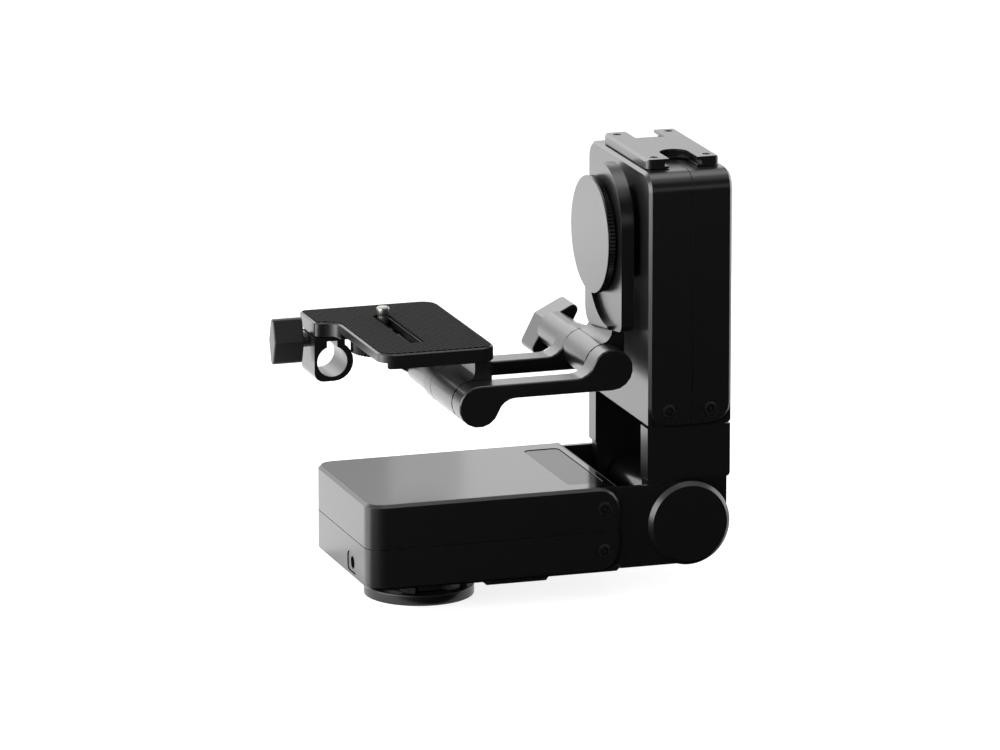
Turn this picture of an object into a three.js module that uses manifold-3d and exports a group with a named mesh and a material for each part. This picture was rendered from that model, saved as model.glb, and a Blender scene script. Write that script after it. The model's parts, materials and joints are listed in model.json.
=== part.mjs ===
// Motorised pan and tilt head: a base drive module that pans on a mounting disc, and a
// tower drive module that folds on the base and tilts an offset arm with a camera plate.
// Millimetres. X runs along the base, Y from front to back, Z up.
// The origin is the centre of the mounting disc's bottom face.

import * as THREE from "three";
import { mergeVertices } from "three/addons/utils/BufferGeometryUtils.js";
import Module from "manifold-3d";

const wasm = await Module();
wasm.setup();

// Clearances and overruns
const seatGap = 0.3;
const overrun = 2;
const weldTolerance = 0.00001;

// Roundness, in steps for a full turn
const roundSteps = 40;
const mediumRoundSteps = 24;
const smallRoundSteps = 12;
const cornerSteps = 4;

// Drive module, two alike: x along the case from the drive axis, y across, z from the output face
const moduleThickness = 42;
const moduleWidth = 92;
const baseDriveEndReach = 39.2;
const towerDriveEndReach = 37.3;
const flapEndReach = 87.2;
const caseCornerRadius = 9;
const caseChamfer = 1.4;
const caseWall = 2.6;
const flapThickness = 1.5;
const flapCornerRadius = 11;
const flapChamfer = 1.2;
const baseSeamHeight = 20;
const towerSeamHeight = 21.9;
const caseScrewInset = 7.9;
const caseScrewSpread = 21;

// Socket screws of the cases and of the top plate
const screwHeadRadius = 3.6;
const screwHeadHeight = 1.2;
const screwHeadSink = 0.2;
const screwShankRadius = 1.5;
const screwShankLength = 3.6;
const screwKeyRadius = 1.7;
const screwKeyDepth = 0.8;
const screwHoleClearance = 0.25;
const plateScrewHeadRadius = 1.75;
const plateScrewHeadHeight = 1.4;
const plateScrewShankRadius = 1;
const plateScrewKeyRadius = 0.8;

// Output shaft of a drive module: a flange outside and a hollow spindle inside
const outputFlangeRadius = 22.5;
const outputFlangeThickness = 2.9;
const outputFlangeChamfer = 0.6;
const spindleRadius = 8;
const spindleBoreRadius = 4.3;
const spindleReach = 19;
const bearingWidth = 6;
const bearingWall = 5.7;
const bearingBossWall = 2.7;
const bearingLip = 1.2;
const bearingLipOverlap = 2;

// Spur gears of a drive module
const gearToothSize = 1;
const gearTeeth = 48;
const pinionTeeth = 12;
const gearPressureDegrees = 25;
const gearAddendumShare = 0.8;
const gearDedendumShare = 1.1;
const gearBacklash = 0.24;
const gearFaceWidth = 6;
const gearSeat = 11;

// Motor and control board of a drive module
const motorRadius = 15;
const motorChamfer = 1;
const motorShaftRadius = 2;
const boardLength = 28;
const boardWidth = 60;
const boardThickness = 1.6;
const boardEndGap = 9.2;
const boardPostHeight = 3.4;
const boardPostRadius = 2.5;
const boardPostInset = 4;
const chipSize = 9;
const chipHeight = 1.4;
const connectorLength = 6;
const connectorWidth = 16;
const connectorHeight = 5;

// Hinge between the modules
const baseHingeReach = 35.1;
const towerHingeReach = 48.2;
const armThickness = 2.7;
const armReachIn = 27;
const armHalfHeight = 20;
const hingeWebThickness = 2.7;
const hingeCapRadius = 20.75;
const hingeCapThickness = 2.3;
const hingePinRadius = 6;
const hingePinBoreRadius = 3.2;
const hingeBushWall = 1.7;
const cheekInnerHalfWidth = 34;
const cheekRadius = 20.4;
const blockBackWall = 2.9;
const blockCornerRadius = 2;
const blockReliefRadius = 22.4;
const hingeBarrelRadius = 17;
const hingeBarrelChamfer = 2;

// Base module
const baseUndersideHeight = 14.8;
const topPanelThickness = 1.2;
const topPanelRim = 0.5;
const topPanelGap = 0.2;
const windowEndGap = 5.2;
const windowLength = 17.5;
const windowWidth = 70;
const windowCornerRadius = 3;
const windowThickness = 0.9;
const undersideCoverStart = 20;
const undersideCoverLength = 35;
const undersideCoverWidth = 74;
const undersideCoverDepth = 3.6;
const undersideCoverBevel = 2.4;
const undersideCoverClearance = 1.5;
const portAcross = -17.5;
const portHeight = 7.6;
const portWidth = 14;
const portTall = 9;
const portDepth = 9;
const portCornerRadius = 2.5;
const portSink = 0.4;
const portHoleRadius = 3.1;
const portHoleDepth = 7;

// Pan mounting disc and the clamping hub above it
const discRadius = 26.7;
const discThickness = 5.1;
const discChamfer = 0.5;
const discBoreRadius = 4.4;
const hubRadius = 19;
const hubLugRadius = 23.5;
const hubLugWidth = 7;
const hubLugCount = 6;

// Top plate on the tower
const topPlateWidth = 37;
const topPlateLength = 64.7;
const topPlateThickness = 4.7;
const topPlateForward = 1.6;
const topPlateChamfer = 1.3;
const topPlateCornerRadius = 3;
const topPlateScrewInset = 5.3;
const topPlateScrewEndInset = 5;
const frontNotchWidth = 14.2;
const frontNotchDepth = 20.6;
const rearNotchWidth = 14.5;
const rearNotchDepth = 16.5;
const notchLipThickness = 1.4;
const notchFootThickness = 1;
const notchGrooveDepth = 2.2;

// Battery contact block in the tower's outer shell
const contactBlockWidth = 30;
const contactBlockLength = 12;
const contactBlockThickness = 2.2;
const contactBlockReach = 20;
const contactPadCount = 5;
const contactPadWidth = 2.4;
const contactPadDepth = 0.5;
const contactCornerRadius = 1.5;

// Tilt arm, seen from the side: y across, z up, both from the tilt axis
const armPlateThickness = 6.3;
const armHeadRadius = 27.5;
const armHeadForward = 5.8;
const armHeadRise = 8.2;
const armFrontDrop = 42.2;
const armRearReach = 15.2;
const armRearDrop = 38;
const armRearCornerRadius = 9;
const armCornerRadius = 4;
const armChamfer = 1.2;
const armRimThickness = 2.5;
const armRimPocketRadius = 30;
const armRimPocketY = -19;
const armRimPocketZ = -11.5;
const armRimTop = -16;
const neckFrontReach = 19.25;
const neckRearReach = 13.65;
const neckFilletRadius = 6;

// Tilt lock knob
const tiltKnobRadius = 28.5;
const tiltKnobThickness = 4.7;
const tiltKnobRibCount = 60;
const tiltKnobRibDepth = 0.55;
const tiltKnobRibWidth = 2.7;
const tiltKnobFaceThickness = 0.8;
const tiltKnobFaceChamfer = 0.3;
const tiltKnobHubInset = 3;
const tiltKnobStudRadius = 4;
const tiltKnobStudLength = 18;

// Elbows and S-shaped links
const elbowRadius = 10.2;
const rightElbowFromTower = 13.5;
const rightElbowDrop = 60;
const elbowSpanX = 67.2;
const elbowSpanZ = 13.3;
const linkWidth = 12.8;
const linkFilletRadius = 9;
const linkChamfer = 0.6;
const elbowBoltRadius = 3;
const elbowBoltInset = 8;
const elbowBoltLength = 92;

// Paddle knobs: a flat wing on a round sleeve
const paddleHalfLength = 15.6;
const paddleHalfMiddle = 7;
const paddleTipRadius = 2.6;
const paddleDepth = 18;
const paddleChamfer = 0.4;
const paddleSleeveRadius = 9;
const paddleSleeveLength = 29;
const paddleBoreRadius = 3.3;
const rightPaddleDegrees = 45;
const leftPaddleDegrees = -12;

// Camera plate and its bracket
const plateLeftReach = 45.9;
const plateRightReach = 12.5;
const plateFrontReach = 21.3;
const plateRearReach = 80.6;
const plateTopRise = 26.6;
const plateThickness = 7.3;
const plateCornerRadius = 8;
const plateChamfer = 0.6;
const earReach = 10.7;
const earStart = 52;
const earFilletRadius = 7;
const earCornerRadius = 3;
const columnWidth = 8.6;
const columnOffset = 1.7;
const columnFilletRadius = 4;
const gripPadThickness = 0.9;
const gripPadProud = 0.4;
const gripPadRim = 1.3;
const gripPadSlotMargin = 0.9;
const slotFromElbow = 21.7;
const slotWidth = 6.6;
const slotFrontReach = 1;
const slotCornerRadius = 1;
const slotRearReach = 57.5;
const channelWidth = 12;
const channelDepth = 3.3;
const sideReliefDepth = 3;
const sideReliefWidth = 10;
const sideReliefEndGap = 1.5;
const slotMarginFront = 5.4;
const slotMarginRear = 5.4;

// Camera screw, its slider and its thumbwheel
const cameraScrewY = 54;
const cameraScrewRadius = 3.175;
const cameraScrewNeckRadius = 2.3;
const cameraScrewRise = 5.2;
const cameraScrewThreadLength = 4.4;
const cameraScrewDome = 0.9;
const cameraScrewBottomDrop = 9.6;
const sliderLength = 16;
const sliderSideGap = 0.3;
const sliderThickness = 2.5;
const sliderCornerRadius = 1.5;
const wheelRadius = 15.8;
const wheelThickness = 5.8;
const wheelDrop = 3.4;
const wheelRibCount = 40;
const wheelRibDepth = 0.7;
const wheelHubRadius = 6;

// Rod clamp under the ear and its knob
const rodRadius = 7.6;
const rodFromElbow = 48.1;
const rodRise = 6.64;
const clampFront = 52;
const clampLength = 22;
const clampLeftWall = 1.4;
const clampRingRadius = 9.8;
const clampRingOffset = 0.9;
const clampBottomCorner = 4.5;
const clampSlitHalfWidth = 2.6;
const clampRightPost = 3.9;
const clampBridgeThickness = 1.8;
const clampScrewRise = 15.95;
const clampScrewRadius = 1.3;
const clampKnobCollarRadius = 3.7;
const clampKnobCollarLength = 3;
const clampKnobDepth = 15;
const clampKnobHalfLength = 11.4;
const clampKnobHalfMiddle = 5.2;
const clampKnobTipRadius = 2.2;

// Finishes, as colour, roughness and metalness
const finishes = {
  satin_black: [0x141414, 0.42, 0.55],
  matte_black: [0x0b0b0c, 0.62, 0.2],
  gloss_black: [0x0c0c0e, 0.08, 0],
  smoked_window: [0x1a1b1d, 0.25, 0],
  rubber_black: [0x161616, 0.85, 0],
  bright_steel: [0xc9c9c6, 0.22, 1],
  dark_steel: [0x4a4b4d, 0.38, 1],
  brass: [0xc29b4b, 0.3, 1],
  board_green: [0x17402b, 0.5, 0],
  contact_gold: [0xd2a54a, 0.25, 1],
};

// Arithmetic and places
const centre = [0, 0, 0];
const degrees = Math.PI / 180;
const half = (length) => length / 2;
const point = (x, y) => new THREE.Vector2(x, y);

// Points along an arc, ends included
function arc(x, y, radius, from, to, steps = cornerSteps) {
  const points = [];
  for (let i = 0; i <= steps; i++) {
    const angle = from + ((to - from) * i) / steps;
    points.push(point(x + radius * Math.cos(angle), y + radius * Math.sin(angle)));
  }
  return points;
}

// A full circle of points
function circle(x, y, radius, steps = roundSteps) {
  return arc(x, y, radius, 0, 2 * Math.PI, steps).slice(0, steps);
}

// A rectangle with a radius for each corner, from the lower left one anticlockwise
function rounded(x0, y0, x1, y1, radii) {
  const corners = [
    [x0, y0, 1, 1, Math.PI],
    [x1, y0, -1, 1, 1.5 * Math.PI],
    [x1, y1, -1, -1, 0],
    [x0, y1, 1, -1, half(Math.PI)],
  ];
  return corners.flatMap(([x, y, sideX, sideY, start], i) => {
    const radius = radii[i];
    if (radius <= 0) return [point(x, y)];
    return arc(x + sideX * radius, y + sideY * radius, radius, start, start + half(Math.PI));
  });
}

// Solids

// A closed geometry as a solid, its faces turned outwards
function toSolid(geometry) {
  const bare = geometry.clone();
  bare.deleteAttribute("normal");
  bare.deleteAttribute("uv");
  const merged = mergeVertices(bare, weldTolerance);
  const places = merged.attributes.position.array;
  const faces = [];
  for (let i = 0; i < merged.index.count; i += 3) {
    const [a, b, c] = merged.index.array.slice(i, i + 3);
    if (a !== b && b !== c && c !== a) faces.push([a, b, c]);
  }
  const corner = (i) => new THREE.Vector3().fromArray(places, 3 * i);
  const volume = faces.reduce(
    (sum, [a, b, c]) => sum + corner(a).dot(corner(b).cross(corner(c))),
    0,
  );
  const turned = volume < 0 ? faces.map(([a, b, c]) => [a, c, b]) : faces;
  const mesh = new wasm.Mesh({
    numProp: 3,
    vertProperties: Float32Array.from(places),
    triVerts: Uint32Array.from(turned.flat()),
  });
  return new wasm.Manifold(mesh);
}

// Where an outline's plane and its extrusion lie, for each axis of extrusion
const planes = {
  x: new THREE.Matrix4().makeBasis(
    new THREE.Vector3(0, 1, 0),
    new THREE.Vector3(0, 0, 1),
    new THREE.Vector3(1, 0, 0),
  ),
  y: new THREE.Matrix4().makeBasis(
    new THREE.Vector3(1, 0, 0),
    new THREE.Vector3(0, 0, 1),
    new THREE.Vector3(0, -1, 0),
  ),
  z: new THREE.Matrix4(),
};

// An outline pushed along an axis from low to high, with both ends chamfered alike.
// The outline is (y, z) for x, (x, z) for y and (x, y) for z.
function prism(axis, outline, low, high, chamfer = 0) {
  const depth = high - low - 2 * chamfer;
  const geometry = new THREE.ExtrudeGeometry(new THREE.Shape(outline), {
    depth,
    bevelEnabled: chamfer > 0,
    bevelThickness: chamfer,
    bevelSize: chamfer,
    bevelOffset: -chamfer,
    bevelSegments: 1,
  });
  geometry.translate(0, 0, axis === "y" ? chamfer - high : low + chamfer);
  geometry.applyMatrix4(planes[axis]);
  return toSolid(geometry);
}

// An outline pushed along an axis with only its high end chamfered, or only its low end
function prismOneEnd(axis, outline, low, high, chamfer, end) {
  const spare = chamfer + overrun;
  const long = end === "high"
    ? prism(axis, outline, low - spare, high, chamfer)
    : prism(axis, outline, low, high + spare, chamfer);
  const reach = outline.reduce((most, p) => Math.max(most, Math.abs(p.x), Math.abs(p.y)), 0);
  const wide = rounded(-reach - overrun, -reach - overrun, reach + overrun, reach + overrun, [0, 0, 0, 0]);
  const trim = end === "high"
    ? prism(axis, wide, low - spare - overrun, low)
    : prism(axis, wide, high, high + spare + overrun);
  return long.subtract(trim);
}

// A block between two corners
function block(x0, x1, y0, y1, z0, z1) {
  const geometry = new THREE.BoxGeometry(x1 - x0, y1 - y0, z1 - z0);
  geometry.translate(half(x0 + x1), half(y0 + y1), half(z0 + z1));
  return toSolid(geometry);
}

// A profile of [radius, place along the axis] turned about an axis through a point
function turned(axis, profile, at = centre, steps = roundSteps) {
  const closed = profile.map(([radius, along]) => point(radius, along));
  const first = closed[0];
  const last = closed[closed.length - 1];
  if (first.x > 0 || last.x > 0) closed.push(first.clone());
  const geometry = new THREE.LatheGeometry(closed, steps);
  if (axis === "z") geometry.rotateX(half(Math.PI));
  if (axis === "x") geometry.rotateZ(-half(Math.PI));
  geometry.translate(...at);
  return toSolid(geometry);
}

// A plain round bar or hole along an axis
function rod(axis, radius, low, high, at = centre, steps = roundSteps) {
  return turned(axis, [[0, low], [radius, low], [radius, high], [0, high]], at, steps);
}

// A round bar with chamfered ends
function chamferedRod(axis, radius, low, high, chamfer, at = centre, steps = roundSteps) {
  const profile = [
    [0, low],
    [radius - chamfer, low],
    [radius, low + chamfer],
    [radius, high - chamfer],
    [radius - chamfer, high],
    [0, high],
  ];
  return turned(axis, profile, at, steps);
}

// A ring along an axis
function ring(axis, inner, outer, low, high, at = centre, steps = roundSteps) {
  return turned(axis, [[inner, low], [outer, low], [outer, high], [inner, high]], at, steps);
}

function joined(solids) {
  return solids.reduce((all, solid) => all.add(solid));
}

function cut(solid, cuts) {
  return cuts.reduce((left, tool) => left.subtract(tool), solid);
}

// A named mesh of a solid with its own material
function piece(name, solid, finishName) {
  const { numProp, vertProperties, triVerts } = solid.getMesh();
  const geometry = new THREE.BufferGeometry();
  const places = new THREE.InterleavedBuffer(vertProperties, numProp);
  const copied = new Float32Array(places.count * 3);
  for (let i = 0; i < places.count; i++) {
    copied.set(vertProperties.slice(i * numProp, i * numProp + 3), i * 3);
  }
  geometry.setAttribute("position", new THREE.BufferAttribute(copied, 3));
  geometry.setIndex(new THREE.BufferAttribute(Uint32Array.from(triVerts), 1));
  geometry.computeVertexNormals();
  const [color, roughness, metalness] = finishes[finishName];
  const material = new THREE.MeshStandardMaterial({ color, roughness, metalness, flatShading: true });
  const mesh = new THREE.Mesh(geometry, material);
  mesh.name = name;
  return mesh;
}

// Drive module: both modules use these

const hingeReach = flapEndReach + baseHingeReach;
const hingeToTilt = flapEndReach + towerHingeReach;
const moduleMiddle = half(moduleThickness);
const caseHalfWidth = half(moduleWidth);
const armOuterY = caseHalfWidth - flapThickness - seatGap;
const armInnerY = armOuterY - armThickness;
const armFrom = flapEndReach - armReachIn;
const caseFloor = caseWall;
const caseCeiling = moduleThickness - caseWall;
const bearingInner = spindleRadius + seatGap;
const bearingOuter = bearingInner + bearingWall;
const bearingSeat = bearingOuter + seatGap;
const bearingLow = bearingLip + seatGap;
const gearCentreDistance = half(gearToothSize * (gearTeeth + pinionTeeth));
const boardStart = flapEndReach - boardEndGap - boardLength;
const gearLow = gearSeat;
const gearHigh = gearLow + gearFaceWidth;
const sides = { front: -1, rear: 1 };

// Top view of the case, drawn in by an inset on the three outer sides and another on the flap end
function caseOutline(driveEndReach, inset, endInset) {
  const radius = Math.max(caseCornerRadius - inset, seatGap);
  return rounded(
    inset - driveEndReach,
    inset - caseHalfWidth,
    flapEndReach - endInset,
    caseHalfWidth - inset,
    [radius, 0, 0, radius],
  );
}

// A span of y on one side of the middle
function sideSpan(side, inner, outer) {
  return side < 0 ? [-outer, -inner] : [inner, outer];
}

// What is cut from the case beside the rounded corners of its flap
function flapNotch(side) {
  const outer = rounded(0, 0, flapEndReach, moduleThickness, [0, flapCornerRadius, flapCornerRadius, 0]);
  const [low, high] = sideSpan(side, caseHalfWidth - flapThickness - overrun, caseHalfWidth);
  const flap = prismOneEnd("y", outer, low, high, flapChamfer, side < 0 ? "low" : "high");
  const [notchLow, notchHigh] = sideSpan(side, caseHalfWidth - flapThickness, caseHalfWidth + overrun);
  const corner = block(
    flapEndReach - flapCornerRadius - caseChamfer,
    flapEndReach + overrun,
    notchLow,
    notchHigh,
    -overrun,
    moduleThickness + overrun,
  );
  return corner.subtract(flap);
}

// The whole hollow case before it is split at the seam
function caseBody(driveEndReach) {
  const outside = prism("z", caseOutline(driveEndReach, 0, 0), 0, moduleThickness, caseChamfer);
  const hollow = prism("z", caseOutline(driveEndReach, caseWall, -overrun), caseFloor, caseCeiling);
  const pockets = Object.values(sides).map((side) => {
    const [low, high] = sideSpan(side, armInnerY - seatGap, caseHalfWidth - flapThickness);
    return block(armFrom - seatGap, flapEndReach + overrun, low, high, caseFloor, caseCeiling);
  });
  const notches = Object.values(sides).map(flapNotch);
  return cut(outside, [hollow, ...pockets, ...notches]);
}

// The part of a case below or above its seam
function caseHalf(driveEndReach, seam, upper) {
  const low = upper ? -overrun : seam - half(seatGap);
  const high = upper ? seam + half(seatGap) : moduleThickness + overrun;
  const away = block(
    -driveEndReach - overrun,
    flapEndReach + overrun,
    -caseHalfWidth - overrun,
    caseHalfWidth + overrun,
    low,
    high,
  );
  return caseBody(driveEndReach).subtract(away);
}

const caseScrewX = flapEndReach - caseScrewInset;
const caseScrewZ = {
  lower: moduleMiddle - half(caseScrewSpread),
  upper: moduleMiddle + half(caseScrewSpread),
};

// Holes for the screw heads in both flaps of a half
function flapScrewHoles(level) {
  return Object.values(sides).map((side) => {
    const [low, high] = sideSpan(side, armOuterY - overrun, caseHalfWidth + overrun);
    const at = [caseScrewX, 0, caseScrewZ[level]];
    return rod("y", screwHeadRadius + screwHoleClearance, low, high, at, smallRoundSteps);
  });
}

// The output-side half: it carries the bearing boss and the posts of the control board
function lowerCase(driveEndReach, seam) {
  const shell = caseHalf(driveEndReach, seam, false);
  const bossHigh = bearingLow + bearingWidth;
  const inFloor = half(caseFloor);
  const bossRadius = bearingSeat + bearingBossWall;
  const boss = rod("z", bossRadius, inFloor, bossHigh, centre, mediumRoundSteps);
  const postHigh = caseFloor + boardPostHeight;
  const posts = boardPostPlaces().map(([x, y]) =>
    rod("z", boardPostRadius, inFloor, postHigh, [x, y, 0], smallRoundSteps),
  );
  const bore = rod("z", bearingSeat, bearingLip, bossHigh + overrun, centre, mediumRoundSteps);
  const mouthRadius = bearingSeat - bearingLipOverlap;
  const mouth = rod("z", mouthRadius, -overrun, bearingLip + half(bearingLip), centre, mediumRoundSteps);
  return cut(joined([shell, boss, ...posts]), [bore, mouth, ...flapScrewHoles("lower")]);
}

function upperCase(driveEndReach, seam) {
  return cut(caseHalf(driveEndReach, seam, true), flapScrewHoles("upper"));
}

function boardPostPlaces() {
  const ends = [boardStart + boardPostInset, boardStart + boardLength - boardPostInset];
  const across = half(boardWidth) - boardPostInset;
  return ends.flatMap((x) => [[x, -across], [x, across]]);
}

// A case screw: a round head sunk in the flap, and a shank through the arm behind it
function caseScrew(side, level) {
  const outer = caseHalfWidth - screwHeadSink;
  const profile = [
    [0, outer - screwKeyDepth],
    [screwKeyRadius, outer - screwKeyDepth],
    [screwKeyRadius, outer],
    [screwHeadRadius, outer],
    [screwHeadRadius, outer - screwHeadHeight],
    [screwShankRadius, outer - screwHeadHeight],
    [screwShankRadius, outer - screwHeadHeight - screwShankLength],
    [0, outer - screwHeadHeight - screwShankLength],
  ];
  const flipped = profile.map(([radius, along]) => [radius, side * along]);
  return turned("y", flipped, [caseScrewX, 0, caseScrewZ[level]], smallRoundSteps);
}

// Holes for all four case screws in a hinge frame
function frameScrewHoles() {
  return Object.values(caseScrewZ).map((z) =>
    rod("y", screwShankRadius + seatGap, -caseHalfWidth, caseHalfWidth, [caseScrewX, 0, z], smallRoundSteps),
  );
}

// The output shaft: its flange lies outside the case, its spindle inside
function outputShaft() {
  const flangeHigh = -seatGap;
  const flangeLow = flangeHigh - outputFlangeThickness;
  const profile = [
    [spindleBoreRadius, flangeLow],
    [outputFlangeRadius - outputFlangeChamfer, flangeLow],
    [outputFlangeRadius, flangeLow + outputFlangeChamfer],
    [outputFlangeRadius, flangeHigh],
    [spindleRadius, flangeHigh],
    [spindleRadius, spindleReach],
    [spindleBoreRadius, spindleReach],
  ];
  return turned("z", profile);
}

function driveBearing() {
  const high = bearingLow + bearingWidth;
  return ring("z", bearingInner, bearingOuter, bearingLow, high, centre, mediumRoundSteps);
}

// Half the angle that a tooth takes at a radius, on an involute flank
function toothHalfAngle(teeth, radius) {
  const pressure = gearPressureDegrees * degrees;
  const pitch = half(gearToothSize * teeth);
  const base = pitch * Math.cos(pressure);
  const involute = (angle) => Math.tan(angle) - angle;
  const atRadius = Math.acos(Math.min(1, base / Math.max(radius, base)));
  const atPitch = half(Math.PI / teeth - gearBacklash / gearToothSize / teeth);
  return atPitch + involute(pressure) - involute(atRadius);
}

// The outline of a spur gear, with its first tooth turned by a phase
function gearOutline(teeth, phase) {
  const pitch = half(gearToothSize * teeth);
  const root = pitch - gearDedendumShare * gearToothSize;
  const tip = pitch + gearAddendumShare * gearToothSize;
  const radii = [root, tip];
  const points = [];
  for (let tooth = 0; tooth < teeth; tooth++) {
    const middle = phase + (2 * Math.PI * tooth) / teeth;
    const flank = (radius, side) => {
      const angle = middle + side * toothHalfAngle(teeth, radius);
      return point(radius * Math.cos(angle), radius * Math.sin(angle));
    };
    points.push(...radii.map((radius) => flank(radius, -1)));
    points.push(...[...radii].reverse().map((radius) => flank(radius, 1)));
  }
  return points;
}

function gearBore(radius, steps) {
  return rod("z", radius, gearLow - overrun, gearHigh + overrun, centre, steps);
}

function driveGear() {
  const blank = prism("z", gearOutline(gearTeeth, 0), gearLow, gearHigh);
  return blank.subtract(gearBore(spindleRadius + seatGap, mediumRoundSteps));
}

// The pinion, about its own axis, with a gap towards the gear
function drivePinion() {
  const blank = prism("z", gearOutline(pinionTeeth, Math.PI / pinionTeeth), gearLow, gearHigh);
  return blank.subtract(gearBore(motorShaftRadius + seatGap, smallRoundSteps));
}

// The motor stands on the far wall of the case, its shaft through the pinion
function driveMotor() {
  const low = gearHigh + seatGap + motorShaftRadius;
  const high = caseCeiling - seatGap;
  const profile = [
    [0, gearLow],
    [motorShaftRadius, gearLow],
    [motorShaftRadius, low],
    [motorRadius - motorChamfer, low],
    [motorRadius, low + motorChamfer],
    [motorRadius, high - motorChamfer],
    [motorRadius - motorChamfer, high],
    [0, high],
  ];
  return turned("z", profile, [gearCentreDistance, 0, 0], mediumRoundSteps);
}

// Control board with three chips and a connector
function controlBoard() {
  const low = caseFloor + boardPostHeight + seatGap;
  const high = low + boardThickness;
  const middleX = boardStart + half(boardLength);
  const plate = block(boardStart, boardStart + boardLength, -half(boardWidth), half(boardWidth), low, high);
  const chips = [-1, 0, 1].map((row) => {
    const y = row * 2 * chipSize;
    const reach = half(chipSize);
    return block(middleX - reach, middleX + reach, y - reach, y + reach, low, high + chipHeight);
  });
  const connector = block(
    boardStart,
    boardStart + connectorLength,
    -half(connectorWidth) - chipSize,
    half(connectorWidth) - chipSize,
    low,
    high + connectorHeight,
  );
  return joined([plate, ...chips, connector]);
}

// Hinge pieces

// The base's hinge frame: a web that closes the case, and an arm on each side
function baseHingeFrame() {
  const webHigh = flapEndReach - seatGap;
  const low = caseFloor + seatGap;
  const high = caseCeiling - seatGap;
  const web = block(webHigh - hingeWebThickness, webHigh, -armOuterY, armOuterY, low, high);
  const arms = Object.values(sides).flatMap((side) => {
    const [y0, y1] = sideSpan(side, armInnerY, armOuterY);
    const inner = block(armFrom, flapEndReach + seatGap + overrun, y0, y1, low, high);
    const end = arc(hingeReach, moduleMiddle, armHalfHeight, -half(Math.PI), half(Math.PI), half(roundSteps));
    const start = flapEndReach + seatGap;
    const outline = [
      point(start, moduleMiddle - armHalfHeight),
      ...end,
      point(start, moduleMiddle + armHalfHeight),
    ];
    return [inner, prism("y", outline, y0, y1)];
  });
  const at = [hingeReach, 0, moduleMiddle];
  const pinHole = rod("y", hingePinRadius + seatGap, -caseHalfWidth, caseHalfWidth, at, mediumRoundSteps);
  return cut(joined([web, ...arms]), [pinHole, ...frameScrewHoles()]);
}

// A cap over the end of the hinge, with a wide chamfer
function hingeCap(side) {
  const inner = armOuterY + seatGap;
  const outer = inner + hingeCapThickness;
  const lip = seatGap;
  const profile = [
    [0, side * inner],
    [hingeCapRadius, side * inner],
    [hingeCapRadius, side * (inner + lip)],
    [hingeCapRadius - hingeCapThickness + lip, side * outer],
    [0, side * outer],
  ];
  return turned("y", profile, [hingeReach, 0, moduleMiddle]);
}

function hingePin() {
  const reach = armOuterY;
  const profile = [
    [hingePinBoreRadius, -reach],
    [hingePinRadius, -reach],
    [hingePinRadius, reach],
    [hingePinBoreRadius, reach],
  ];
  return turned("y", profile, [hingeReach, 0, moduleMiddle], mediumRoundSteps);
}

const bushInner = hingePinRadius + seatGap;
const bushOuter = bushInner + hingeBushWall;
const cheekOuterY = armInnerY - seatGap;

// The tower's hinge block in the module's frame: x runs down from the tilt axis.
// It has a web, two cheeks that narrow to pass inside the base's arms, and a back wall.
function towerHingeBlock() {
  const low = caseFloor + seatGap;
  const high = caseCeiling - seatGap;
  const webEnd = flapEndReach - seatGap;
  const start = flapEndReach + seatGap;
  const blockEnd = hingeToTilt - moduleMiddle - 2 * seatGap;
  const web = block(webEnd - hingeWebThickness, webEnd, -armOuterY, armOuterY, low, high);
  const cheeks = Object.values(sides).flatMap((side) => {
    const [armLow, armHigh] = sideSpan(side, armInnerY, armOuterY);
    const [skinLow, skinHigh] = sideSpan(side, cheekInnerHalfWidth, armOuterY);
    const [cheekLow, cheekHigh] = sideSpan(side, cheekInnerHalfWidth, cheekOuterY);
    const root = block(webEnd - hingeWebThickness, start + overrun, skinLow, skinHigh, low, high);
    const tab = block(armFrom, start, armLow, armHigh, low, high);
    const skin = rounded(start, 0, blockEnd, moduleThickness, [0, blockCornerRadius, blockCornerRadius, 0]);
    const end = arc(hingeToTilt, moduleMiddle, cheekRadius, -half(Math.PI), half(Math.PI), half(roundSteps));
    const tongue = [
      point(start, moduleMiddle - cheekRadius),
      ...end,
      point(start, moduleMiddle + cheekRadius),
    ];
    const relief = rod("y", blockReliefRadius, ...sideSpan(side, cheekOuterY, caseHalfWidth), hingePlace());
    return [
      root,
      tab,
      prism("y", skin, skinLow, skinHigh).subtract(relief),
      prism("y", tongue, cheekLow, cheekHigh),
    ];
  });
  const back = block(
    start,
    hingeToTilt,
    -cheekInnerHalfWidth - half(blockBackWall),
    cheekInnerHalfWidth + half(blockBackWall),
    moduleThickness - blockBackWall,
    moduleThickness,
  );
  const backTrim = block(
    hingeToTilt - half(hingePinRadius),
    hingeToTilt + overrun,
    -cheekOuterY,
    cheekOuterY,
    moduleMiddle + cheekRadius,
    moduleThickness + overrun,
  );
  const bushRadius = bushOuter + seatGap;
  const bushHole = rod("y", bushRadius, -caseHalfWidth, caseHalfWidth, hingePlace(), mediumRoundSteps);
  return cut(joined([web, ...cheeks, back]), [backTrim, bushHole, ...frameScrewHoles()]);
}

// The hinge axis in the tower module's frame
function hingePlace() {
  return [hingeToTilt, 0, moduleMiddle];
}

function hingeBush(side) {
  const [low, high] = sideSpan(side, cheekInnerHalfWidth, cheekOuterY - half(seatGap));
  return ring("y", bushInner, bushOuter, low, high, hingePlace(), mediumRoundSteps);
}

function hingeBarrel() {
  const reach = cheekInnerHalfWidth - seatGap;
  const at = hingePlace();
  const chamfer = hingeBarrelChamfer;
  const outside = chamferedRod("y", hingeBarrelRadius, -reach, reach, chamfer, at, mediumRoundSteps);
  return outside.subtract(rod("y", bushInner, -reach - overrun, reach + overrun, at, mediumRoundSteps));
}

// Base pieces, in the base module's frame

const windowStart = flapEndReach - windowEndGap - windowLength;
const panelInset = caseChamfer + topPanelRim;
const panelTop = moduleThickness;
const panelBottom = panelTop - topPanelThickness;

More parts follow.
